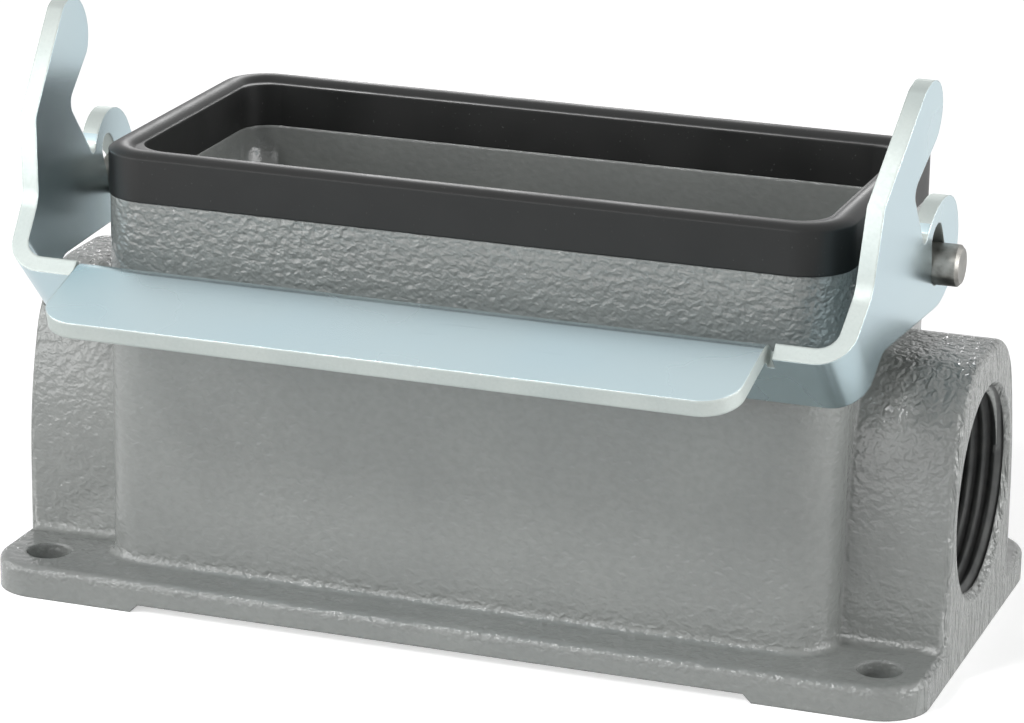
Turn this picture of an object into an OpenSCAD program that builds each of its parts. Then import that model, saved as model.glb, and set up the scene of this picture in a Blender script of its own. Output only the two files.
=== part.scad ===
// Surface mounting base housing of a size 16 heavy duty rectangular connector.
// A die-cast housing with a base plate and two end blocks, a rubber sealing frame on its rim
// and one locking lever bent from sheet steel that swings on two pins.
// X runs along the housing with the cable entry at +X, the lever's grip faces -Y, and z = 0 is
// the plane that the feet stand on. The origin is the middle of the four mounting holes.

/* [Body] */
// Length of the body over its end walls
body_l = 91.8; // [88:0.2:95]
// Width of the body over its side walls
body_w = 44.6; // [42:0.2:47]
// Height of the rim that the seal sits on
rim_z = 49.5; // [47:0.5:56]
// Radius of the body's upright corners
body_corner_r = 6; // [4.5:0.5:8]
// Thickness of the side walls
side_wall = 4.2; // [3.8:0.1:4.8]
// Thickness of the end walls
end_wall = 3.3; // [2.8:0.1:4]
// Height of the cavity's floor above the feet
floor_z = 4.5; // [3.5:0.1:6]
// Radius where the walls meet the base plate
foot_fillet = 0.9; // [0.3:0.1:2]

/* [Base plate] */
// How far the plate and the end blocks stand out past the body's end walls
brim_l = 12.6; // [11:0.1:16]
// How far the plate stands out past the body's side walls
brim_w = 6.2; // [5.6:0.1:9]
// Thickness of the base plate
plate_t = 4; // [3:0.1:5.5]
// Radius of the plate's four corners
plate_corner_r = 6; // [3:0.5:9]
// Rounding of the plate's upper edge
plate_edge_r = 0.9; // [0.3:0.1:1.5]
// Distance of the mounting holes from the plate's edges
hole_inset = 6; // [5:0.1:6.5]
// Diameter of the mounting holes
hole_d = 5.5; // [4.5:0.1:6.5]
// Length of each foot under the plate's ends
foot_l = 19.5; // [12:0.5:26]
// Height of the feet below the recessed underside
foot_h = 1; // [0.4:0.1:1.4]

/* [End blocks] */
// How far the end blocks' sides lie inside the body's side walls
block_inset = 6.9; // [5.5:0.1:8]
// Depth of the end blocks' tops below the rim
block_drop = 13; // [12:0.1:15]
// Radius of the end blocks' shoulders
block_shoulder_r = 10; // [8:0.5:11]
// Rounding round the end blocks' outer faces
block_edge_r = 0.8; // [0.4:0.1:1.5]

/* [Cable entry] */
// Diameter over the crests of the entry's thread
entry_d = 23.4; // [18:0.1:24]
// Diameter of the chamfer at the entry's mouth
entry_mouth_d = 25; // [24.4:0.1:26]
// Height of the entry's axis
entry_z = 19.05; // [18:0.05:20]
// Wall left closed in the end block without an entry
blank_wall = 3.5; // [2:0.1:6]

/* [Insert fixing] */
// Distance of the insert's screws from the cavity's end walls
insert_inset_l = 3.85; // [3.2:0.05:5]
// Distance of the insert's screws from the cavity's side walls
insert_inset_w = 4.6; // [4:0.1:6]
// Diameter of each screw's tapped hole before threading
insert_hole_d = 3.3; // [2.5:0.1:4]
// Depth of each tapped hole
insert_hole_depth = 12; // [8:0.5:20]
// Depth of the bosses' tops below the rim
insert_boss_drop = 10.5; // [8:0.5:16]
// Radius of each boss
insert_boss_r = 4; // [3.5:0.1:4.5]

/* [Sealing frame] */
// Height of the sealing frame's flat land above the rim
seal_land_h = 5.3; // [4:0.1:6]
// Height of the sealing bead above the land
seal_bead_h = 0.65; // [0.4:0.05:0.9]
// Width of the sealing bead
seal_bead_w = 3.2; // [2.5:0.1:3.2]
// How far the frame stands out past the housing's walls
seal_proud = 0.15; // [0:0.05:0.2]
// Width of the tongue that holds the frame in the rim
tongue_w = 1.4; // [1:0.1:1.8]
// Depth of the tongue
tongue_h = 2.3; // [1.5:0.1:3]
// Distance between each tongue's ends and the body's ends
tongue_inset = 14.9; // [10:0.1:25]
// Gap round the tongue in its groove
tongue_gap = 0.1; // [0.05:0.05:0.2]

/* [Pivot pins] */
// Diameter of each pin where the lever turns on it
pin_d = 5; // [4:0.1:5.2]
// Diameter of each pin's shank in the wall
shank_d = 3.8; // [3:0.1:3.8]
// Depth of the pins' axis below the rim
pin_drop = 3.2; // [3.1:0.1:4]
// How far the pivot lugs stand out from the end walls
lug_t = 2.8; // [2:0.1:3.2]
// Width and height of each pivot lug round its pin
lug_w = 8.6; // [7:0.1:9]
// Length of pin beyond a centred lever's outer face
pin_proud = 1; // [0.3:0.1:1.5]
// Running gap between each pin and the lever's slot
pin_gap = 0.1; // [0.05:0.05:0.3]

/* [Locking lever] */
// Thickness of the lever's sheet
sheet_t = 2.05; // [1.5:0.05:2.2]
// Free play of the lever along its pins on each side when centred
side_play = 2.85; // [1.5:0.05:3.4]
// Gap left at the lug that the lever leans towards
shift_gap = 1; // [0.9:0.1:1.5]
// Angle that the arms splay outwards
splay = 5.2; // [0:0.1:5.6]
// Angle from the lever's rest to its upright, locked place
rest_angle = 45; // [42:1:48]
// Gap between the resting cross-piece and the housing's side wall
rest_gap = 0.3; // [0.3:0.1:1]
// Gap between the upright cross-piece and the plane of the housing's side wall
hood_gap = 0.6; // [0.5:0.1:1.2]
// Height of the cross-piece
bar_h = 10.4; // [9:0.1:12]
// Outer radius of the bends between cross-piece and arms
arm_bend_r = 4.5; // [3:0.1:6]
// Length of the pins' slots beyond their round ends
slot_travel = 3.3; // [2:0.1:3.6]
// Radius of the ears round the pins
ear_r = 6.4; // [6:0.1:6.8]
// Distance between the grip's ends and the arms' inner faces
grip_inset = 9.65; // [8:0.05:16]
// Depth of the grip's flat from its bend to its front edge
grip_depth = 12; // [8:0.5:15]
// Angle that the grip is bent out of the cross-piece
grip_bend = 60; // [45:1:75]
// Outer radius of the grip's bend
grip_bend_r = 3.05; // [2.6:0.05:4]
// Radius of the grip's front corners
grip_corner_r = 4.5; // [2:0.5:7]

/* [Hidden] */
$fn = 64;
cut = 1;
arc_steps = 12;
grey = [0.56, 0.57, 0.56];
rubber = [0.13, 0.13, 0.13];
zinc = [0.78, 0.82, 0.84];
steel = [0.6, 0.59, 0.56];

// Body, plate and cavity
plate_l = body_l + 2 * brim_l;
plate_w = body_w + 2 * brim_w;
hole_x = plate_l / 2 - hole_inset;
hole_y = plate_w / 2 - hole_inset;
cavity_l = body_l - 2 * end_wall;
cavity_w = body_w - 2 * side_wall;
cavity_corner_r = 4;
boss_top = rim_z - insert_boss_drop;
insert_x = cavity_l / 2 - insert_inset_l;
insert_y = cavity_w / 2 - insert_inset_w;
foot_x = plate_l / 2 - foot_l;
foot_chamfer = foot_h;

// End blocks: upright sides that lean in above a soft bend, then shoulders and a flat top
block_half_w = body_w / 2 - block_inset;
block_top = rim_z - block_drop;
block_lean = 16.3;
block_lean_z = 21;
block_lean_r = 55;
block_edge_steps = 3;
block_start = body_l / 2 - end_wall / 2;
block_end = plate_l / 2;

// Pins and lugs
pivot_z = rim_z - pin_drop;
lug_x = body_l / 2 + lug_t;
lug_top_gap = 0.3;
lug_corner_r = 2;
shank_end = cavity_l / 2 + 1.2;
shank_gap = 0.02;
pin_chamfer = 0.4;
pin_end = lug_x + side_play + sheet_t + pin_proud;

// Sealing frame
seal_top = rim_z + seal_land_h;
seal_l = body_l + 2 * seal_proud;
seal_w = body_w + 2 * seal_proud;
seal_corner_r = body_corner_r + seal_proud;
bead_r = (seal_bead_w * seal_bead_w / 4 + seal_bead_h * seal_bead_h) / (2 * seal_bead_h);
tongue_y = body_w / 2 - side_wall / 2;
tongue_l = body_l - 2 * tongue_inset;

// Lever, drawn upright about its pivot: the cross-piece stands in front at -Y, arms run to +Y
lever_shift = shift_gap - side_play;
arm_half = lug_x + side_play;
bar_y = body_w / 2 + hood_gap;
bar_low = (body_w / 2 + rest_gap - bar_y * cos(rest_angle)) / sin(rest_angle);
bar_high = bar_low + bar_h;
bar_front = bar_y + sheet_t;
splay_t = sheet_t / cos(splay);
slot_r = pin_d / 2 + pin_gap;
slot_top_r = 1.8;
slot_neck = 2.4;
slot_lean = 17;
ear_low = [0.9, 0.2];
ear_stretch = 1.1;
ear_top = ear_low + ear_stretch * [sin(slot_lean), cos(slot_lean)];
ear_end = 115;
heel_r = 3;
throat_y = -2.1;
throat_r = 0.8;
seat_y = -1;
seat_z = 17.7;
seat_r = 1.6;
tip_y = 11.3;
tip_z = 25.6;
tip_low = 16.2;
tip_under_r = 2.4;
tip_edge_r = 1.8;
tip_corner = 1.8;
tip_top = 3.6;
tip_r = 3;
horn_y = -6.8;
horn_z = 26.4;
horn_r = 2.5;
neck_y = -15.4;
neck_r = 4;
grip_half_l = arm_half - grip_inset;
grip_root = bar_high - 1.3;
grip_tail = 1;
nick_w = 0.8;
nick_depth = 0.7;
arm_reach = 16;

// Points of a polygon whose corners [x, y, radius] are turned into arcs
function unit(v) = v / norm(v);
function arc_points(a, b, c, r, steps) =
    let (u = unit(a - b))
    let (v = unit(c - b))
    let (half = acos(u * v) / 2)
    let (middle = b + unit(u + v) * r / sin(half))
    let (start = b + u * r / tan(half) - middle)
    let (finish = b + v * r / tan(half) - middle)
    let (from = atan2(start[1], start[0]))
    let (turn = atan2(finish[1], finish[0]) - from)
    let (sweep = turn > 180 ? turn - 360 : turn < -180 ? turn + 360 : turn)
    [for (i = [0:steps]) middle + r * [cos(from + sweep * i / steps), sin(from + sweep * i / steps)]];
function flat(p) = [p[0], p[1]];
function rounded(p) =
    [for (i = [0:len(p) - 1])
        let (before = flat(p[(i + len(p) - 1) % len(p)]))
        let (after = flat(p[(i + 1) % len(p)]))
        each p[i][2] > 0 ? arc_points(before, flat(p[i]), after, p[i][2], arc_steps) : [flat(p[i])]];

// Flat outlines
module rounded_rect(l, w, r) {
    square([l - 2 * r, w], center = true);
    square([l, w - 2 * r], center = true);
    for (x = [-1, 1], y = [-1, 1])
        translate([x * (l / 2 - r), y * (w / 2 - r)]) circle(r = r);
}

// Upright section from the middle out to w, with its upper outer corner rounded
module topped(w, h, r) {
    square([w, h - r]);
    square([w - r, h]);
    translate([w - r, h - r]) circle(r = r);
}

module cove() {
    difference() {
        translate([-cut, 0]) square([foot_fillet + cut, foot_fillet]);
        translate([foot_fillet, foot_fillet]) circle(r = foot_fillet);
    }
}

// Solids laid along X or Y from a section drawn as [across, up]
module along_x(l) {
    rotate([90, 0, 90]) translate([0, 0, -l / 2]) linear_extrude(l) children();
}

module along_y(l) {
    rotate([90, 0, 0]) translate([0, 0, -l / 2]) linear_extrude(l) children();
}

module mirrored(v) {
    children();
    mirror(v) children();
}

module plate() {
    corner_l = plate_l - 2 * plate_corner_r;
    corner_w = plate_w - 2 * plate_corner_r;
    for (x = [-1, 1], y = [-1, 1])
        translate([x * corner_l / 2, y * corner_w / 2])
            rotate_extrude() topped(plate_corner_r, plate_t, plate_edge_r);
    along_x(corner_l) mirrored([1, 0]) topped(plate_w / 2, plate_t, plate_edge_r);
    along_y(corner_w) mirrored([1, 0]) topped(plate_l / 2, plate_t, plate_edge_r);
}

module foot_recess() {
    along_y(plate_w + 2 * cut)
        polygon([
            [-foot_x, -cut],
            [foot_x, -cut],
            [foot_x, 0],
            [foot_x - foot_chamfer, foot_h],
            [foot_chamfer - foot_x, foot_h],
            [-foot_x, 0]
        ]);
}

module body_coves() {
    side_l = body_l - 2 * body_corner_r;
    end_w = body_w - 2 * body_corner_r;
    translate([0, 0, plate_t]) {
        mirrored([0, 1, 0])
            translate([0, body_w / 2, 0]) along_x(side_l) cove();
        mirrored([1, 0, 0])
            translate([body_l / 2, 0, 0]) along_y(end_w) cove();
        for (x = [0, 1], y = [0, 1])
            mirror([x, 0, 0]) mirror([0, y, 0])
                translate([side_l / 2, end_w / 2, 0])
                    rotate_extrude(angle = 90) translate([body_corner_r, 0]) cove();
        for (x = [0, 1], y = [0, 1])
            mirror([x, 0, 0]) mirror([0, y, 0])
                translate([(body_l / 2 + block_end - plate_edge_r) / 2, block_half_w, 0])
                    along_x(block_end - plate_edge_r - body_l / 2) cove();
    }
}

module block_outline() {
    top_y = block_half_w - (block_top - block_lean_z) * tan(block_lean);
    polygon(rounded([
        [-block_half_w, 0, 0],
        [block_half_w, 0, 0],
        [block_half_w, block_lean_z, block_lean_r],
        [top_y, block_top, block_shoulder_r],
        [-top_y, block_top, block_shoulder_r],
        [-block_half_w, block_lean_z, block_lean_r]
    ]));
}

// Arched block whose outer edge is rounded by ever smaller slices
module end_block() {
    hull()
        for (i = [0:block_edge_steps]) {
            turn = 90 * i / block_edge_steps;
            reach = block_end - block_start - block_edge_r * (1 - sin(turn));
            translate([block_start + reach / 2, 0, 0])
                along_x(reach)
                    offset(r = -block_edge_r * (1 - cos(turn))) block_outline();
        }
}

module pivot_lug() {
    translate([(block_start + lug_x) / 2, 0, 0])
        along_x(lug_x - block_start)
            polygon(rounded([
                [-lug_w / 2, pivot_z - lug_w / 2, lug_corner_r],
                [lug_w / 2, pivot_z - lug_w / 2, lug_corner_r],
                [lug_w / 2, rim_z - lug_top_gap, lug_corner_r],
                [-lug_w / 2, rim_z - lug_top_gap, lug_corner_r]
            ]));
}

module insert_bosses() {
    for (x = [0, 1], y = [0, 1])
        mirror([x, 0]) mirror([0, y])
            translate([insert_x, insert_y]) {
                circle(r = insert_boss_r);
                translate([0, -insert_boss_r])
                    square([insert_inset_l + cut, insert_boss_r + cavity_w / 2]);
                translate([-insert_boss_r, 0])
                    square([insert_boss_r + cavity_l / 2, insert_inset_w + cut]);
            }
}

module cavity() {
    translate([0, 0, floor_z])
        linear_extrude(boss_top - floor_z)
            difference() {
                rounded_rect(cavity_l, cavity_w, cavity_corner_r);
                insert_bosses();
            }
    translate([0, 0, boss_top])
        linear_extrude(rim_z - boss_top + cut)
            rounded_rect(cavity_l, cavity_w, cavity_corner_r);
}

module cable_entry() {
    chamfer = (entry_mouth_d - entry_d) / 2;
    translate([cavity_l / 2 - cut, 0, entry_z]) rotate([0, 90, 0]) {
        cylinder(d = entry_d, h = plate_l / 2 - cavity_l / 2 + 2 * cut);
        translate([0, 0, plate_l / 2 - cavity_l / 2 + cut - chamfer])
            cylinder(d1 = entry_d, d2 = entry_mouth_d + 2 * chamfer, h = 2 * chamfer);
    }
}

module blank_core() {
    translate([blank_wall - plate_l / 2, 0, entry_z])
        rotate([0, 90, 0])
            cylinder(d = entry_d, h = plate_l / 2 - blank_wall - cavity_l / 2 + cut);
}

module tongue_shape(gap) {
    for (y = [-1, 1])
        translate([0, y * tongue_y, rim_z - tongue_h - gap])
            linear_extrude(tongue_h + gap)
                square([tongue_l + 2 * gap, tongue_w + 2 * gap], center = true);
}

module shank_hole() {
    translate([shank_end - shank_gap, 0, pivot_z])
        rotate([0, 90, 0])
            cylinder(d = shank_d, h = lug_x - shank_end + shank_gap + cut);
}

module housing() {
    color(grey)
        difference() {
            union() {
                plate();
                linear_extrude(rim_z) rounded_rect(body_l, body_w, body_corner_r);
                body_coves();
                mirrored([1, 0, 0]) end_block();
                mirrored([1, 0, 0]) pivot_lug();
            }
            cavity();
            foot_recess();
            cable_entry();
            blank_core();
            mirrored([1, 0, 0]) shank_hole();
            tongue_shape(tongue_gap);
            for (x = [-1, 1], y = [-1, 1]) {
                translate([x * hole_x, y * hole_y, -cut])
                    cylinder(d = hole_d, h = plate_t + 2 * cut);
                translate([x * insert_x, y * insert_y, boss_top - insert_hole_depth])
                    cylinder(d = insert_hole_d, h = insert_hole_depth + cut);
            }
        }
}

// Low arched bead whose section starts at x = 0 and ends at the bead's width
module bead_section() {
    intersection() {
        translate([-seal_bead_w / 2, seal_bead_h - bead_r]) circle(r = bead_r, $fn = 96);
        translate([-seal_bead_w, -seal_bead_h]) square([seal_bead_w, 3 * seal_bead_h]);
    }
}

module bead_limit() {
    intersection() {
        bead_section();
        translate([-seal_bead_w, -seal_bead_h / 2]) square([seal_bead_w, 2 * seal_bead_h]);
    }
}

module sealing_frame() {
    side_l = seal_l - 2 * seal_corner_r;
    end_w = seal_w - 2 * seal_corner_r;
    color(rubber) {
        translate([0, 0, rim_z])
            linear_extrude(seal_land_h)
                difference() {
                    rounded_rect(seal_l, seal_w, seal_corner_r);
                    rounded_rect(cavity_l, cavity_w, cavity_corner_r);
                }
        translate([0, 0, seal_top]) {
            mirrored([0, 1, 0])
                translate([0, seal_w / 2, 0]) along_x(side_l) bead_limit();
            mirrored([1, 0, 0])
                translate([seal_l / 2, 0, 0]) along_y(end_w) bead_limit();
            for (x = [0, 1], y = [0, 1])
                mirror([x, 0, 0]) mirror([0, y, 0])
                    translate([side_l / 2, end_w / 2, 0])
                        rotate_extrude(angle = 90) translate([seal_corner_r, 0]) bead_limit();
        }
        tongue_shape(0);
    }
}

// Pin lying along +X with its shoulder against the lug and its shank in the wall
module pivot_pin() {
    color(steel)
        rotate([0, 90, 0]) {
            translate([0, 0, shank_end]) cylinder(d = shank_d - 2 * shank_gap, h = lug_x - shank_end);
            translate([0, 0, lug_x]) cylinder(d = pin_d, h = pin_end - lug_x - pin_chamfer);
            translate([0, 0, pin_end - pin_chamfer])
                cylinder(d1 = pin_d, d2 = pin_d - 2 * pin_chamfer, h = pin_chamfer);
        }
}

module pivot_pin_left() {
    translate([0, 0, pivot_z]) mirror([1, 0, 0]) pivot_pin();
}

module pivot_pin_right() {
    translate([0, 0, pivot_z]) pivot_pin();
}

// Plan outline of the bent sheet, drawn with the given offset into the metal
module bend_plan(offset_in, bend_r, reach) {
    back = arm_half + splay_t - offset_in / cos(splay) + reach * tan(splay);
    front = -bar_front + offset_in;
    front_half = arm_half + splay_t - offset_in / cos(splay) + front * tan(splay);
    polygon(rounded([
        [-back, reach, 0],
        [-front_half, front, bend_r],
        [front_half, front, bend_r],
        [back, reach, 0]
    ]));
}

// Corner where two edges meet that touch a circle in the directions from and to
function edge_corner(middle, r, from, to) =
    middle + r / cos((to - from) / 2) * [cos((from + to) / 2), sin((from + to) / 2)];

// Side outline of arm and cross-piece: bar in front, ear stretched along the pin's slot, throat
// behind it and horn above
module arm_side() {
    under = edge_corner(ear_low, ear_r, -90 - rest_angle, -slot_lean);
    behind = edge_corner(ear_top, ear_r, -slot_lean, ear_end);
    heel_y = under[0] - (bar_low - under[1]) / tan(rest_angle);
    throat_z = behind[1] + (throat_y - behind[0]) * tan(ear_end + 90);
    polygon(rounded([
        [-bar_front - cut, bar_low, 0],
        [heel_y, bar_low, heel_r],
        [under[0], under[1], ear_r],
        [behind[0], behind[1], ear_r],
        [throat_y, throat_z, throat_r],
        [seat_y, seat_z, seat_r],
        [tip_y - tip_top, tip_low, tip_under_r],
        [tip_y, tip_low + tip_corner, tip_edge_r],
        [tip_y, tip_z - tip_corner, tip_r],
        [tip_y - tip_top, tip_z, tip_r],
        [horn_y, horn_z, horn_r],
        [neck_y, bar_high, neck_r],
        [-bar_front - cut, bar_high, 0]
    ]));
}

// Keyhole slot: the pin turns in its round lower end, and the upper end is narrower
module pin_slot() {
    reach = slot_travel + slot_r - slot_top_r;
    circle(r = slot_r);
    rotate(-slot_lean)
        polygon(concat(
            [[-slot_neck, 0], [slot_neck, 0]],
            [for (i = [0:arc_steps])
                let (turn = 180 * i / arc_steps)
                [slot_top_r * cos(turn), reach + slot_top_r * sin(turn)]]
        ));
}

// Side outline of the grip: a tail in the cross-piece, the bend and the flat that slopes out
module grip_section() {
    outer_corner = [-bar_y, grip_root + grip_bend_r * tan(grip_bend / 2)];
    inner_corner = [-bar_front, grip_root + (grip_bend_r - sheet_t) * tan(grip_bend / 2)];
    outward = [-sin(grip_bend), cos(grip_bend)];
    down = [-cos(grip_bend), -sin(grip_bend)];
    edge = outer_corner + (grip_depth + grip_bend_r * tan(grip_bend / 2)) * outward;
    under_edge = edge + sheet_t * down;
    polygon(rounded([
        [-bar_y, grip_root - grip_tail, 0],
        [outer_corner[0], outer_corner[1], grip_bend_r],
        [edge[0], edge[1], 0],
        [under_edge[0], under_edge[1], 0],
        [inner_corner[0], inner_corner[1], grip_bend_r - sheet_t],
        [-bar_front, grip_root - grip_tail, 0]
    ]));
}

// Grip: the sheet bent out of the cross-piece's upper edge, with rounded front corners
module grip() {
    intersection() {
        along_x(2 * grip_half_l) grip_section();
        translate([0, -bar_y - grip_bend_r, grip_root])
            rotate([grip_bend, 0, 0])
                rotate([90, 0, 0])
                    linear_extrude(8 * grip_bend_r, center = true)
                        polygon(rounded([
                            [-arm_half, -2 * grip_depth, 0],
                            [arm_half, -2 * grip_depth, 0],
                            [arm_half, 0, 0],
                            [grip_half_l, 0, 0],
                            [grip_half_l, grip_depth, grip_corner_r],
                            [-grip_half_l, grip_depth, grip_corner_r],
                            [-grip_half_l, 0, 0],
                            [-arm_half, 0, 0]
                        ]));
    }
}

module grip_cut() {
    translate([0, -bar_y - sheet_t / 2, 0]) {
        translate([-grip_half_l, -sheet_t, grip_root])
            cube([2 * grip_half_l, 2 * sheet_t, bar_h]);
        mirrored([1, 0, 0])
            translate([grip_half_l, -sheet_t, grip_root - nick_depth])
                cube([nick_w, 2 * sheet_t, bar_h]);
    }
}

module upright_lever() {
    difference() {
        intersection() {
            translate([0, 0, -2 * ear_r])
                linear_extrude(6 * ear_r)
                    difference() {
                        bend_plan(0, arm_bend_r, arm_reach);
                        bend_plan(sheet_t, arm_bend_r - sheet_t, arm_reach + cut);
                    }
            along_x(3 * arm_half) arm_side();
        }
        along_x(3 * arm_half) pin_slot();
        grip_cut();
    }
    grip();
}

module locking_lever() {
    color(zinc)
        translate([lever_shift, 0, pivot_z])
            rotate([rest_angle, 0, 0])
                upright_lever();
}

housing();
sealing_frame();
pivot_pin_left();
pivot_pin_right();
locking_lever();
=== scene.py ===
# %% [markdown]
# # Rectangular connector base with one locking lever
# The real product is a die-cast housing with a coarse grey powder coat. A black rubber frame
# sits on its rim, and a zinc plated lever of bent sheet steel turns on two steel pins. The
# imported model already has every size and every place, so this script only adds the looks:
# the cut thread, the lever's round tips, the finishes, the camera and the light. Lengths are
# in metres, and a size in millimetres is written times MM.

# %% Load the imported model
import math

import bmesh
import bpy
from mathutils import Matrix, Vector
from mathutils.bvhtree import BVHTree


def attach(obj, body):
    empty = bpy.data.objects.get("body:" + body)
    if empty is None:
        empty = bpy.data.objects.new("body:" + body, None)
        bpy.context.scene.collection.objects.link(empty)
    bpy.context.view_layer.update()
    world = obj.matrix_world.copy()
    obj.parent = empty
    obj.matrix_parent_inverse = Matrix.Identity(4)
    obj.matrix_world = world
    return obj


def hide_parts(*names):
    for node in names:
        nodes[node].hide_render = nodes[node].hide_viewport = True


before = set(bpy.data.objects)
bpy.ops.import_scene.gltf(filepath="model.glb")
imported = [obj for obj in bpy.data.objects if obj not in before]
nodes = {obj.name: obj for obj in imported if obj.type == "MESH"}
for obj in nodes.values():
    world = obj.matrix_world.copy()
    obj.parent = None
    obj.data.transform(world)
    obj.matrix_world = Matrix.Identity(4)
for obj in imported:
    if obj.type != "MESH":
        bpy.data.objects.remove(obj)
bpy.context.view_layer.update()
MM = 0.001

# %% [markdown]
# ## Camera
# The photograph was taken with a long lens from the right, a little above the rim, and it is
# rolled by nearly a degree. The camera is turned in the order that a tripod head turns:
# round the upright, then down, then rolled, and it is drawn back from the point it looks at.

# %% Place the camera
AZIMUTH, ELEVATION, ROLL = math.radians(19.45), math.radians(17.53), math.radians(0.914)
LOOKED_AT = Vector((-0.504, -0.661, 28.203)) * MM
DISTANCE = 511.85 * MM
SENSOR_WIDTH, FOCAL_LENGTH = 36.0, 148.08


def in_scene(thing):
    bpy.context.scene.collection.objects.link(thing)
    return thing


lens = bpy.data.cameras.new("photo_camera")
lens.sensor_width, lens.lens = SENSOR_WIDTH, FOCAL_LENGTH
lens.clip_start, lens.clip_end = 0.01, 50.0
camera = in_scene(bpy.data.objects.new("photo_camera", lens))
camera.matrix_world = (
    Matrix.Translation(LOOKED_AT)
    @ Matrix.Rotation(AZIMUTH, 4, "Z")
    @ Matrix.Rotation(math.radians(90) - ELEVATION, 4, "X")
    @ Matrix.Rotation(ROLL, 4, "Z")
    @ Matrix.Translation((0, 0, DISTANCE))
)
bpy.context.scene.camera = camera
print("camera at", [round(c, 3) for c in camera.matrix_world.translation])

# %% [markdown]
# ## Node helpers
# A finish is a small graph of nodes: patterns go in, and one glossy surface shader comes out.
# The graphs could be drawn by hand in the shader editor, but a few helpers keep each finish
# short and easy to compare with the next. A value that is the same all over a surface is set
# on the shader's own socket.

# %% Start a finish and fill its nodes
def put(tree, kind, settings=None, **values):
    node = tree.nodes.new(kind)
    for key, value in (settings or {}).items():
        setattr(node, key, value)
    for key, value in values.items():
        node.inputs[key.replace("_", " ")].default_value = value
    return node


def feed(tree, socket, value):
    if isinstance(value, bpy.types.NodeSocket):
        tree.links.new(value, socket)
    else:
        socket.default_value = value


def start_finish(name, **values):
    finish = bpy.data.materials.new(name)
    finish.use_nodes = True
    tree = finish.node_tree
    tree.nodes.clear()
    output = put(tree, "ShaderNodeOutputMaterial")
    surface = put(tree, "ShaderNodeBsdfPrincipled", **values)
    tree.links.new(surface.outputs["BSDF"], output.inputs["Surface"])
    return finish, tree, surface


def finish_surface(tree, surface, normal, colour, roughness):
    tree.links.new(normal, surface.inputs["Normal"])
    tree.links.new(colour, surface.inputs["Base Color"])
    tree.links.new(roughness, surface.inputs["Roughness"])


# %% [markdown]
# ## Patterns
# Every pattern is a noise on Object coordinates, which stay with the metal in any view and at
# any pose. Its scale is a number of waves per metre. Stretching the place before the noise
# draws the pattern out into rings, scratches or wrinkles.

# %% Helpers for patterns
def object_place(tree, stretch=(1, 1, 1)):
    place = put(tree, "ShaderNodeTexCoord")
    mapping = put(tree, "ShaderNodeMapping", Scale=stretch)
    tree.links.new(place.outputs["Object"], mapping.inputs["Vector"])
    return mapping.outputs["Vector"]


def along(tree, place, axis):
    node = put(tree, "ShaderNodeSeparateXYZ")
    tree.links.new(place, node.inputs["Vector"])
    return node.outputs[axis]


def noise(tree, place, scale, detail=2.0, roughness=0.5, distortion=0.0):
    node = put(tree, "ShaderNodeTexNoise", Scale=scale, Detail=detail,
               Roughness=roughness, Distortion=distortion)
    tree.links.new(place, node.inputs["Vector"])
    return node.outputs["Fac"]


def spread(tree, value, low, high, start=0.3, end=0.7):
    node = put(tree, "ShaderNodeMapRange", **{"From_Min": start, "From_Max": end,
                                              "To_Min": low, "To_Max": high})
    tree.links.new(value, node.inputs["Value"])
    return node.outputs["Result"]


def maths(tree, operation, *values):
    node = put(tree, "ShaderNodeMath", {"operation": operation})
    for socket, value in zip(node.inputs, values):
        feed(tree, socket, value)
    return node.outputs["Value"]


def blend_colours(tree, share, first, second):
    node = put(tree, "ShaderNodeMix", {"data_type": "RGBA"})
    tree.links.new(share, node.inputs[0])
    for socket, colour in ((node.inputs[6], first), (node.inputs[7], second)):
        feed(tree, socket, colour if isinstance(colour, bpy.types.NodeSocket) else (*colour, 1))
    return node.outputs[2]


print("a noise of scale 1000 has waves of", round(1 / 1000 / MM, 2), "mm")

# %% [markdown]
# ## Relief and edges
# Bump tilts the light on a surface without moving it, which suits a coat or a scratch that is
# thinner than a hair. A Bevel node rounds sharp edges in the same way. Where its rounded
# normal leaves the flat one there is an edge, and there a finish gets a painted highlight:
# its colour is made lighter along the edge.

# %% Helpers for relief and edges
def relief(tree, height, depth, strength=1.0, under=None):
    node = put(tree, "ShaderNodeBump", Distance=depth, Strength=strength)
    tree.links.new(height, node.inputs["Height"])
    if under is not None:
        tree.links.new(under, node.inputs["Normal"])
    return node.outputs["Normal"]


def raised_where(tree, pattern, where, depth, strength, under):
    centred = spread(tree, pattern, -0.5, 0.5, 0, 1)
    return relief(tree, maths(tree, "MULTIPLY", centred, where), depth, strength, under)


def soft_edge(tree, radius):
    node = put(tree, "ShaderNodeBevel", {"samples": 4}, Radius=radius)
    return node.outputs["Normal"]


# The lighter colour along edges is a painted highlight. These two numbers set the tilt where it starts and
# where it is full.
EDGE_LIGHT_STARTS, EDGE_LIGHT_FULL = 0.005, 0.08


# Share of painted edge highlight: 0 on flat faces, 1 where the bevel normal tilts furthest.
def edge_highlight_share(tree, rounded):
    geometry = put(tree, "ShaderNodeNewGeometry")
    dot = put(tree, "ShaderNodeVectorMath", {"operation": "DOT_PRODUCT"})
    tree.links.new(rounded, dot.inputs[0])
    tree.links.new(geometry.outputs["Normal"], dot.inputs[1])
    return spread(tree, dot.outputs["Value"], 1.0, 0.0, 1 - EDGE_LIGHT_FULL, 1 - EDGE_LIGHT_STARTS)


# The painted edge highlight starts at this tilt.
print("wear starts where the edge tilts by", round(math.degrees(math.acos(1 - EDGE_LIGHT_STARTS)), 1), "degrees")

# %% [markdown]
# ## Painted casting
# The coat is a grey textured powder paint. It melts into small soft blobs about a millimetre
# across, so each blob catches a point of light while the paint between them stays satin. It
# lies thicker towards the rim, beads along the plate's edges, crinkles on top of the end
# blocks, and runs into upright wrinkles on the outer end faces. So the graph first finds each
# place, as a number from 0 to 1, and then turns the patterns up there. Inside the housing the
# coat is thin everywhere.

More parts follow.
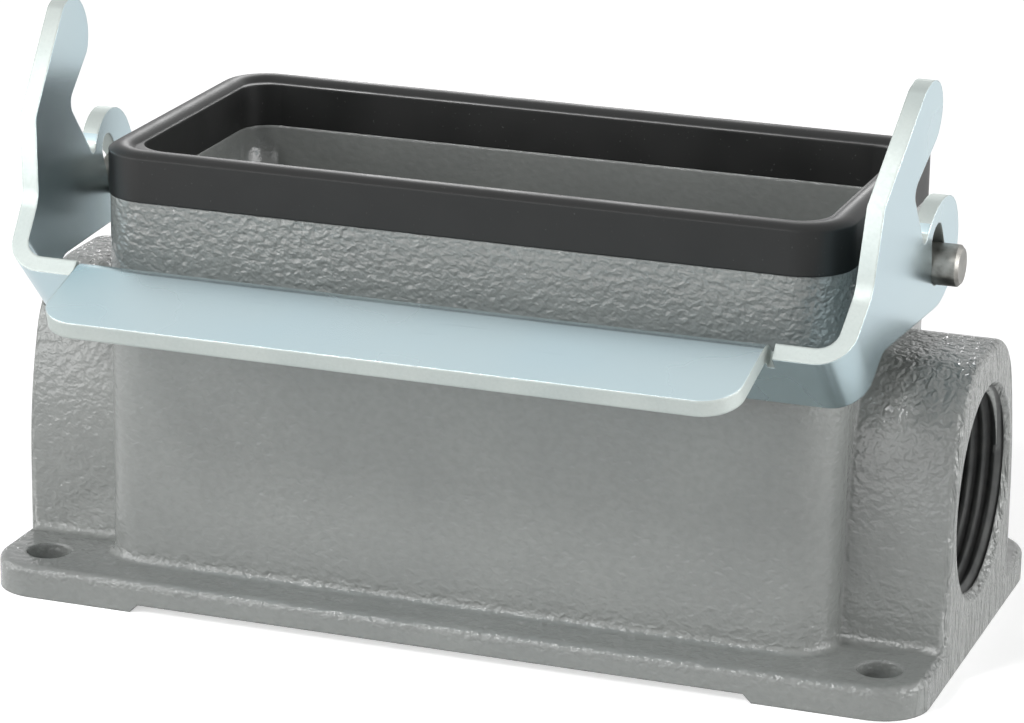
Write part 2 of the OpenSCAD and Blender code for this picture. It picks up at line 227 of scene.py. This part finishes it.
# %% Places where the coat changes
WALL_SIDES = (18.5 * MM, 21.5 * MM)
WALL_ENDS = (43.0 * MM, 45.0 * MM)
COLLAR = (31.0 * MM, 37.0 * MM)
PLATE_TOP = 4.0 * MM
BEADS_START, BEADS_END = (0.05 * MM, 0.4 * MM), (1.0 * MM, 2.0 * MM)
BLOCK_ENDS = (47.0 * MM, 49.0 * MM)
BLOCK_SHOULDER = (27.0 * MM, 36.5 * MM)
END_FACE = (57.6 * MM, 58.2 * MM)


def outside_walls(tree, side, end):
    beyond_side = spread(tree, side, 0.15, 1.0, *WALL_SIDES)
    beyond_end = spread(tree, end, 0.15, 1.0, *WALL_ENDS)
    return maths(tree, "MAXIMUM", beyond_side, beyond_end)


def thick_coat(tree, height, outside, patches):
    collar = maths(tree, "MULTIPLY", spread(tree, height, 0.36, 1.0, *COLLAR),
                   spread(tree, patches, 0.6, 1.4))
    from_plate = maths(tree, "ABSOLUTE", maths(tree, "SUBTRACT", height, PLATE_TOP))
    beads = maths(tree, "MULTIPLY", spread(tree, from_plate, 0.0, 0.8, *BEADS_START),
                  spread(tree, from_plate, 1.0, 0.0, *BEADS_END))
    return maths(tree, "MAXIMUM", maths(tree, "MULTIPLY", collar, outside),
                 maths(tree, "MULTIPLY", beads, outside))


print("the coat is thickest above", COLLAR[1] / MM, "mm and beads round", PLATE_TOP / MM, "mm")

# %% Powder coat
COAT_DARK, COAT_LIGHT = (0.240, 0.252, 0.243), (0.272, 0.284, 0.272)
# A darker colour painted as shade in the valleys between blobs, and a lighter colour painted as a highlight
# along edges.
COAT_VALLEY_SHADE, COAT_EDGE_HIGHLIGHT = (0.200, 0.208, 0.202), (0.42, 0.43, 0.42)


def powder_coat():
    finish, tree, surface = start_finish("painted_casting", Roughness=0.3, Specular_IOR_Level=0.6)
    place = object_place(tree)
    height = along(tree, place, "Z")
    side = maths(tree, "ABSOLUTE", along(tree, place, "Y"))
    end = maths(tree, "ABSOLUTE", along(tree, place, "X"))
    patches = noise(tree, place, 38)
    thick = thick_coat(tree, height, outside_walls(tree, side, end), patches)
    on_block = maths(tree, "MULTIPLY", spread(tree, end, 0.0, 1.0, *BLOCK_ENDS),
                     spread(tree, height, 0.15, 1.0, *BLOCK_SHOULDER))
    on_end = spread(tree, end, 0.0, 1.0, *END_FACE)

    blobs = noise(tree, object_place(tree, (1, 1, 1.35)), 950, detail=1.0, distortion=0.25)
    pebbles = noise(tree, place, 1900, detail=1.5, distortion=0.3)
    crinkles = noise(tree, place, 820, detail=1.6, distortion=1.0)
    wrinkles = noise(tree, object_place(tree, (1, 1, 0.30)), 720, detail=2.5, roughness=0.55, distortion=0.9)
    grain = noise(tree, place, 4200)
    shade = noise(tree, place, 60, detail=3.0)

    rounded = soft_edge(tree, 0.6 * MM)
    bumpy = raised_where(tree, blobs, thick, 0.42 * MM, 0.8, rounded)
    bumpy = raised_where(tree, pebbles, thick, 0.16 * MM, 0.8, bumpy)
    bumpy = raised_where(tree, crinkles, on_block, 0.60 * MM, 1.0, bumpy)
    bumpy = raised_where(tree, wrinkles, on_end, 1.20 * MM, 1.0, bumpy)
    bumpy = relief(tree, grain, 0.015 * MM, 0.6, bumpy)

    colour = blend_colours(tree, spread(tree, shade, 0, 1), COAT_DARK, COAT_LIGHT)
    # The hollows between the blobs are painted darker: painted shade in the valleys.
    colour = blend_colours(tree, spread(tree, blobs, 0.35, 0.0), colour, COAT_VALLEY_SHADE)
    # Edges are painted lighter here: a painted highlight along the rounded edges of the coat.
    painted_edge_light = spread(tree, edge_highlight_share(tree, rounded), 0, 0.3, 0, 1)
    colour = blend_colours(tree, painted_edge_light, colour, COAT_EDGE_HIGHLIGHT)
    finish_surface(tree, surface, bumpy, colour, spread(tree, grain, 0.11, 0.19))
    return finish


painted = powder_coat()
print("made", painted.name, "with", len(painted.node_tree.nodes), "nodes")

# %% [markdown]
# ## Cut thread
# The tap goes through the coat, so the entry's wall is bare die-cast metal, dull and dark with
# cutting oil. Its fine marks run round the entry's axis, so their noise is drawn out across
# that axis, as the marks of a turning tool are.

# %% Bare thread
OILED_DARK, OILED_LIGHT = (0.058, 0.061, 0.060), (0.105, 0.109, 0.106)


def bare_thread():
    finish, tree, surface = start_finish("bare_thread", Roughness=0.4, Specular_IOR_Level=0.35)
    marks = noise(tree, object_place(tree, (1, 0.08, 0.08)), 4200)
    stain = noise(tree, object_place(tree), 420, detail=3.0)
    bumpy = relief(tree, marks, 0.02 * MM, 0.6, soft_edge(tree, 0.12 * MM))
    colour = blend_colours(tree, spread(tree, stain, 0, 1), OILED_DARK, OILED_LIGHT)
    finish_surface(tree, surface, bumpy, colour, spread(tree, stain, 0.34, 0.5))
    return finish


threaded = bare_thread()
print("made", threaded.name, "with", len(threaded.node_tree.nodes), "nodes")

# %% [markdown]
# ## Rubber
# The sealing frame is moulded black rubber with a satin skin. It is nearly smooth, with a
# little fine dust, and it looks greyer where the light grazes it. A plain glossy surface does
# that by itself, so the graph only adds a fine skin, a slow change of black, and the dust.

# %% Black rubber
RUBBER_DARK, RUBBER_LIGHT = (0.0075, 0.0080, 0.0078), (0.0125, 0.0129, 0.0126)
DUST = (0.09, 0.09, 0.09)


def black_rubber():
    finish, tree, surface = start_finish("black_rubber", Roughness=0.5, Specular_IOR_Level=0.36)
    place = object_place(tree)
    skin = noise(tree, place, 3200, detail=3.0)
    cloud = noise(tree, place, 90, detail=3.0)
    specks = spread(tree, noise(tree, place, 2400, detail=1.0), 0, 0.5, 0.74, 0.80)
    bumpy = relief(tree, skin, 0.015 * MM, 0.5, soft_edge(tree, 0.3 * MM))
    colour = blend_colours(tree, spread(tree, cloud, 0, 1), RUBBER_DARK, RUBBER_LIGHT)
    colour = blend_colours(tree, specks, colour, DUST)
    finish_surface(tree, surface, bumpy, colour, spread(tree, cloud, 0.39, 0.51))
    return finish


rubber = black_rubber()
print("made", rubber.name, "with", len(rubber.node_tree.nodes), "nodes")

# %% [markdown]
# ## Zinc plate
# The lever is stamped from rolled steel and plated with zinc, with a faint blue passivation.
# Its rolled faces mirror the studio softly, with a fine orange peel and a few hair scratches
# that run along the strip. Only the strongest part of the scratch noise is kept, so that the
# scratches stay apart.

# %% Zinc plated sheet
# The third colour is a painted highlight for the lever's edges.
ZINC_DARK, ZINC_LIGHT, ZINC_EDGE_HIGHLIGHT = (0.515, 0.650, 0.700), (0.560, 0.680, 0.712), (0.74, 0.80, 0.79)


def zinc_plate():
    finish, tree, surface = start_finish("zinc_plated_sheet", Metallic=1.0, Roughness=0.26)
    place = object_place(tree)
    peel = noise(tree, place, 2300)
    cloud = noise(tree, place, 45, detail=3.0)
    streaks = noise(tree, object_place(tree, (0.035, 1, 1)), 2600, detail=3.0)
    scratches = spread(tree, streaks, 0, 1, 0.66, 0.74)
    rounded = soft_edge(tree, 0.28 * MM)
    bumpy = relief(tree, peel, 0.0035 * MM, 0.4, rounded)
    bumpy = relief(tree, scratches, 0.006 * MM, 0.5, bumpy)
    colour = blend_colours(tree, spread(tree, cloud, 0, 1), ZINC_DARK, ZINC_LIGHT)
    # Edges are painted lighter here: a painted highlight along the lever's edges.
    painted_edge_light = spread(tree, edge_highlight_share(tree, rounded), 0, 0.6, 0, 1)
    colour = blend_colours(tree, painted_edge_light, colour, ZINC_EDGE_HIGHLIGHT)
    finish_surface(tree, surface, bumpy, colour, spread(tree, cloud, 0.23, 0.29))
    return finish


zinc = zinc_plate()
print("made", zinc.name, "with", len(zinc.node_tree.nodes), "nodes")

# %% [markdown]
# ## Sheared edges
# Where the press cut the sheet, the metal tore and the zinc lies on a rough edge. It scatters
# what it mirrors, so the edges look even and pale beside the rolled faces.

# %% Sheared zinc edge
TORN_DARK, TORN_LIGHT = (0.44, 0.485, 0.472), (0.50, 0.540, 0.520)


def sheared_zinc():
    finish, tree, surface = start_finish("sheared_zinc_edge", Metallic=1.0, Roughness=0.55)
    place = object_place(tree)
    torn = noise(tree, place, 2600, detail=3.0)
    cloud = noise(tree, place, 120)
    bumpy = relief(tree, torn, 0.03 * MM, 0.5, soft_edge(tree, 0.35 * MM))
    colour = blend_colours(tree, spread(tree, cloud, 0, 1), TORN_DARK, TORN_LIGHT)
    finish_surface(tree, surface, bumpy, colour, spread(tree, torn, 0.50, 0.62))
    return finish


sheared = sheared_zinc()
print("made", sheared.name, "with", len(sheared.node_tree.nodes), "nodes")

# %% [markdown]
# ## Turned steel
# The pins are turned from stainless steel, a little dull and warm. Fine rings from the lathe
# run round their axis, which lies along X, so the noise is drawn out across X.

# %% Pin steel
# The third colour is a painted highlight for the pins' edges.
STEEL_STAINED, STEEL_CLEAN, STEEL_EDGE_HIGHLIGHT = (0.140, 0.136, 0.124), (0.320, 0.314, 0.294), (0.48, 0.47, 0.44)


def pin_steel():
    finish, tree, surface = start_finish("pin_steel", Metallic=1.0, Roughness=0.36)
    rings = noise(tree, object_place(tree, (1, 0.05, 0.05)), 5200)
    stain = noise(tree, object_place(tree), 700, detail=3.0)
    rounded = soft_edge(tree, 0.15 * MM)
    bumpy = relief(tree, rings, 0.012 * MM, 0.6, rounded)
    bumpy = relief(tree, stain, 0.02 * MM, 0.4, bumpy)
    colour = blend_colours(tree, spread(tree, stain, 0, 1), STEEL_STAINED, STEEL_CLEAN)
    # Edges are painted lighter here: a painted highlight along the pins' edges.
    painted_edge_light = spread(tree, edge_highlight_share(tree, rounded), 0, 0.5, 0, 1)
    colour = blend_colours(tree, painted_edge_light, colour, STEEL_EDGE_HIGHLIGHT)
    finish_surface(tree, surface, bumpy, colour, spread(tree, stain, 0.28, 0.45))
    return finish


steel = pin_steel()
print("made", steel.name, "with", len(steel.node_tree.nodes), "nodes")

# %% [markdown]
# ## Cable entry
# A cable gland screws into the round entry, so its wall is tapped, and its mouth is
# countersunk to start the gland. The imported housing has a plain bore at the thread's crests,
# because a coil of this size would cost it thousands of facets. Here a copy of the housing
# gets both cuts with booleans, as the real casting gets them from two tools. The copy's loose
# triangles are merged into one skin first, or the boolean wouldn't find an inside.

# %% Copy the housing as one clean skin
MERGE_DISTANCE = 0.001 * MM
FLAT_ANGLE = math.radians(0.3)


def clean_copy(node_name, piece_name):
    piece = in_scene(bpy.data.objects.new(piece_name, nodes[node_name].data.copy()))
    skin = bmesh.new()
    skin.from_mesh(piece.data)
    bmesh.ops.remove_doubles(skin, verts=skin.verts, dist=MERGE_DISTANCE)
    bmesh.ops.dissolve_limit(skin, verts=skin.verts, edges=skin.edges, angle_limit=FLAT_ANGLE)
    skin.to_mesh(piece.data)
    skin.free()
    piece.data.materials.clear()
    return piece


casting = clean_copy("housing", "casting")
print("casting has", len(casting.data.polygons), "faces")

# %% [markdown]
# ### The tap
# The thread has a pitch of 1.5 mm and flanks at about 60 degrees. The tap is the groove's
# section, spun round the entry's axis and moved along it a little at each step, like the
# real tool.

# %% Make the tap and cut the thread
PITCH = 1.5 * MM
CREST, ROOT = 11.7 * MM, 12.5 * MM
CREST_OPENING, ROOT_FLAT = 0.82 * PITCH, 0.16 * PITCH
ENTRY_HEIGHT = 19.05 * MM
THREAD_START, THREAD_END = 41.5 * MM, 60.0 * MM
STEPS_A_TURN = 72
OVERCUT = 0.1 * MM


def tool_from(shape, name):
    bmesh.ops.recalc_face_normals(shape, faces=shape.faces)
    mesh = bpy.data.meshes.new(name)
    shape.to_mesh(mesh)
    shape.free()
    return in_scene(bpy.data.objects.new(name, mesh))


def entry_section(shape, corners):
    return shape.faces.new([shape.verts.new((x, 0, ENTRY_HEIGHT + radius)) for x, radius in corners])


def thread_tap():
    tap = bmesh.new()
    inside = CREST - OVERCUT
    groove = entry_section(tap, (
        (THREAD_START - CREST_OPENING / 2, inside),
        (THREAD_START - ROOT_FLAT / 2, ROOT),
        (THREAD_START + ROOT_FLAT / 2, ROOT),
        (THREAD_START + CREST_OPENING / 2, inside),
    ))
    steps = round((THREAD_END - THREAD_START) / PITCH * STEPS_A_TURN)
    bmesh.ops.spin(
        tap, geom=[groove, *groove.edges], cent=(0, 0, ENTRY_HEIGHT), axis=(1, 0, 0),
        dvec=(PITCH / STEPS_A_TURN, 0, 0), angle=math.radians(360) * steps / STEPS_A_TURN,
        steps=steps, use_merge=False, use_duplicate=False,
    )
    print("the tap turns", round(steps / STEPS_A_TURN, 1), "times")
    return tool_from(tap, "thread_tap")


def cut_away(piece, tool):
    cutter = piece.modifiers.new("cut", "BOOLEAN")
    cutter.operation = "DIFFERENCE"
    cutter.solver = "EXACT"
    cutter.object = tool
    shaped = bpy.data.meshes.new_from_object(
        piece.evaluated_get(bpy.context.evaluated_depsgraph_get()))
    piece.modifiers.clear()
    piece.data = shaped
    bpy.data.objects.remove(tool)


cut_away(casting, thread_tap())
print("casting has", len(casting.data.polygons), "faces after the thread was cut")

# %% [markdown]
# ### The countersink
# The mouth's cone opens at 45 degrees from the thread's crests to the end face. Its tool is a
# ring with a triangular section, closed by a full spin that merges its last step with its
# first.

# %% Countersink the mouth
MOUTH_START, FACE_END = 57.1 * MM, 58.7 * MM
CONE_OVERCUT = 0.2 * MM
CONE_STEPS = 96


def countersink():
    cone = bmesh.new()
    section = entry_section(cone, (
        (MOUTH_START - CONE_OVERCUT, CREST - CONE_OVERCUT),
        (FACE_END, CREST - CONE_OVERCUT),
        (FACE_END, CREST + FACE_END - MOUTH_START),
    ))
    outline = list(section.edges)
    bmesh.ops.delete(cone, geom=[section], context="FACES_ONLY")
    bmesh.ops.spin(cone, geom=outline, cent=(0, 0, ENTRY_HEIGHT), axis=(1, 0, 0),
                   angle=math.radians(360), steps=CONE_STEPS, use_merge=True, use_duplicate=False)
    return tool_from(cone, "countersink")


cut_away(casting, countersink())
print("casting has", len(casting.data.polygons), "faces after the countersink")

# %% [markdown]
# ### Paint and bare metal
# The coat covers the whole casting and the mouth's cone, and only the tapped wall is bare. A
# face is in the tapped wall if all its corners lie within the thread's roots, past the start
# of the bore, and not on the cone.

# %% Shade the casting and sort its faces
BORE_START = 45.7 * MM
NEAR = 0.02 * MM


def shade_by_angle(piece, degrees):
    piece.data.polygons.foreach_set("use_smooth", [True] * len(piece.data.polygons))
    piece.data.set_sharp_from_angle(angle=math.radians(degrees))


def is_tapped(corners):
    places = [(c.x, math.hypot(c.y, c.z - ENTRY_HEIGHT)) for c in corners]
    on_cone = all(abs(radius - CREST - (x - MOUTH_START)) < NEAR for x, radius in places)
    return not on_cone and all(x > BORE_START and radius < ROOT + NEAR for x, radius in places)


shade_by_angle(casting, 32)
casting.data.materials.append(painted)
casting.data.materials.append(threaded)
for face in casting.data.polygons:
    face.material_index = int(is_tapped([casting.data.vertices[i].co for i in face.vertices]))
print("bare faces", sum(face.material_index for face in casting.data.polygons))
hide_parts("housing")
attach(casting, "base")

# %% [markdown]
# ## Lever
# The press gives the lever's tips full round ends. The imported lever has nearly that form, with
# corner radii, and a copy gets the last shaving. The tool is a half ring: an edge is spun
# through half a turn round the tips' middle and drawn out along X, so that one cut shapes both
# arms. It is made with the lever upright, and then leaned over to where the lever rests.

# %% Round the tips of the copied lever
lever = clean_copy("locking_lever", "zinc_lever")
PIVOT = Vector((0, 0, 46.3)) * MM
TIP_MIDDLE, TIP_RADIUS = Vector((0, 6.45, 20.95)) * MM, 4.85 * MM
TIP_STEPS = 32
HALF_SPAN = 70 * MM
REST_LEAN = math.radians(45)
upright_to_rest = Matrix.Translation(PIVOT) @ Matrix.Rotation(REST_LEAN, 4, "X")


def tip_bite():
    bite = bmesh.new()
    near = bite.verts.new((-HALF_SPAN, TIP_MIDDLE.y, TIP_MIDDLE.z - TIP_RADIUS))
    far = bite.verts.new((-HALF_SPAN, TIP_MIDDLE.y, TIP_MIDDLE.z - 2 * TIP_RADIUS))
    spoke = bite.edges.new((near, far))
    bmesh.ops.spin(bite, geom=[near, far, spoke],
                   cent=(-HALF_SPAN, TIP_MIDDLE.y, TIP_MIDDLE.z), axis=(1, 0, 0),
                   angle=math.radians(180), steps=TIP_STEPS, use_merge=False, use_duplicate=False)
    wall = bmesh.ops.extrude_face_region(bite, geom=list(bite.faces))
    bmesh.ops.translate(bite, vec=(2 * HALF_SPAN, 0, 0),
                        verts=[part for part in wall["geom"] if isinstance(part, bmesh.types.BMVert)])
    bmesh.ops.transform(bite, matrix=upright_to_rest, verts=bite.verts)
    return tool_from(bite, "tip_bite")


cut_away(lever, tip_bite())
print("lever has", len(lever.data.polygons), "faces with its round tips")

# %% [markdown]
# ### Rolled faces and sheared edges
# The two kinds of surface are told apart by feeling through the metal. From a rolled face the
# far side is one sheet thickness away, and from a sheared edge it is further. Each ray starts
# in the middle of the face's biggest triangle, because the middle of a bent outline can lie
# outside it.

# %% Tell rolled faces from sheared edges
SHEET, THICKNESS_SLACK = 2.05 * MM, 0.12 * MM
START_DEPTH = 0.01 * MM


def metal_of(piece):
    skin = bmesh.new()
    skin.from_mesh(piece.data)
    tree = BVHTree.FromBMesh(skin)
    skin.free()
    return tree


def biggest_triangles(mesh):
    mesh.calc_loop_triangles()
    biggest = {}
    for triangle in sorted(mesh.loop_triangles, key=lambda part: part.area, reverse=True):
        biggest.setdefault(triangle.polygon_index, triangle)
    return biggest


def is_rolled(metal, face, corners):
    start = sum(corners, Vector()) / 3 - face.normal * START_DEPTH
    through = metal.ray_cast(start, -face.normal)[3]
    return through is not None and abs(through - SHEET) <= THICKNESS_SLACK


lever.data.materials.append(zinc)
lever.data.materials.append(sheared)
metal = metal_of(lever)
biggest = biggest_triangles(lever.data)
for face in lever.data.polygons:
    corners = [lever.data.vertices[i].co for i in biggest[face.index].vertices]
    face.material_index = 0 if is_rolled(metal, face, corners) else 1
print("sheared faces", sum(face.material_index for face in lever.data.polygons))
shade_by_angle(lever, 28)
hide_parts("locking_lever")
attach(lever, "lever")

# %% [markdown]
# ## Carried-over parts
# The rubber frame and the pins already have their real shape, so they keep their packed
# meshes and only get their finishes.

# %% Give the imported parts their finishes
for node_name, finish in {
    "sealing_frame": rubber,
    "pivot_pin_left": steel,
    "pivot_pin_right": steel,
}.items():
    node = nodes[node_name]
    node.data.materials.clear()
    node.data.materials.append(finish)
    print(node_name, "now has", finish.name)

# %% [markdown]
# ## Studio
# The photograph has a white background, so the world is white to the camera and to mirrors.
# A world as bright as that would wash the object out, so it lights it only faintly, and soft
# lamps do the rest. A Light Path node tells the two uses apart.

# %% World
WORLD_LIGHT, WORLD_SEEN = 0.07, 1.0

world = bpy.data.worlds.new("white_studio")
world.use_nodes = True
bpy.context.scene.world = world
sky = world.node_tree
sky.nodes.clear()
rays = put(sky, "ShaderNodeLightPath").outputs
seen = maths(sky, "MAXIMUM", rays["Is Camera Ray"], rays["Is Glossy Ray"])
seen = maths(sky, "MAXIMUM", seen, rays["Is Transmission Ray"])
light = put(sky, "ShaderNodeBackground", Color=(1, 1, 1, 1))
sky.links.new(spread(sky, seen, WORLD_LIGHT, WORLD_SEEN, 0, 1), light.inputs["Strength"])
sky_out = put(sky, "ShaderNodeOutputWorld")
sky.links.new(light.outputs["Background"], sky_out.inputs["Surface"])
print("world lights at", WORLD_LIGHT, "and is seen at", WORLD_SEEN)

# %% [markdown]
# ## Floor
# The product stands on a wide sheet of white paper. The lamps alone would leave the paper
# grey, so it has a little glow of its own, which only the camera and mirrors see. The paper
# still shows the shadow.

# %% Floor
FLOOR_HALF_WIDTH = 4.0
PAPER_WHITE = (0.9, 0.9, 0.9, 1)
GLOW_SEEN, GLOW_MIRRORED = 0.55, 0.38

floor_shape = bmesh.new()
bmesh.ops.create_grid(floor_shape, x_segments=1, y_segments=1, size=FLOOR_HALF_WIDTH)
floor_mesh = bpy.data.meshes.new("floor")
floor_shape.to_mesh(floor_mesh)
floor_shape.free()
floor = in_scene(bpy.data.objects.new("floor", floor_mesh))
paper, paper_tree, paper_surface = start_finish(
    "floor_paper", Roughness=0.9, Base_Color=PAPER_WHITE, Emission_Color=(1, 1, 1, 1))
paper_rays = put(paper_tree, "ShaderNodeLightPath").outputs
glow = maths(paper_tree, "MAXIMUM",
             maths(paper_tree, "MULTIPLY", paper_rays["Is Camera Ray"], GLOW_SEEN),
             maths(paper_tree, "MULTIPLY", paper_rays["Is Glossy Ray"], GLOW_MIRRORED))
paper_tree.links.new(glow, paper_surface.inputs["Emission Strength"])
floor_mesh.materials.append(paper)
print("floor is", 2 * FLOOR_HALF_WIDTH, "m wide")

# %% [markdown]
# ## Lamps
# Wide soft panels stand on the left, in front and on the right, where the metal mirrors them
# as broad pale fields. A small key lamp high on the left puts points of light on the coat's
# blobs, and a small lamp behind gives the upward faces their sheen. Each lamp is set by its
# brightness, because that is what a mirror shows, and its power follows from its size.

# %% Lamps
MIDDLE = (0.0, 0.0, 0.03)


def soft_lamp(name, place, width, height, brightness):
    lamp = bpy.data.lights.new(name, "AREA")
    lamp.shape = "RECTANGLE"
    lamp.size, lamp.size_y = width, height
    lamp.energy = brightness * math.pi * width * height
    holder = in_scene(bpy.data.objects.new(name, lamp))
    holder.location = place
    holder.rotation_euler = (Vector(MIDDLE) - Vector(place)).to_track_quat("-Z", "Y").to_euler()
    print(name, "gives", round(lamp.energy, 2), "W from", place)


soft_lamp("key", (-0.24, -0.50, 0.54), 0.13, 0.13, 28.0)
soft_lamp("left_panel", (-0.80, -0.45, 0.30), 1.00, 0.56, 3.5)
soft_lamp("front_panel", (-0.25, -1.10, 0.29), 0.80, 0.50, 1.6)
soft_lamp("right_panel", (0.80, 0.05, 0.22), 1.00, 0.40, 5.2)
soft_lamp("back_kicker", (-0.34, 0.90, 0.38), 0.12, 0.12, 26.0)

# %% [markdown]
# ## Colours
# The Standard view shows each colour as it is written.

# %% Colour management
bpy.context.scene.view_settings.view_transform = "Standard"
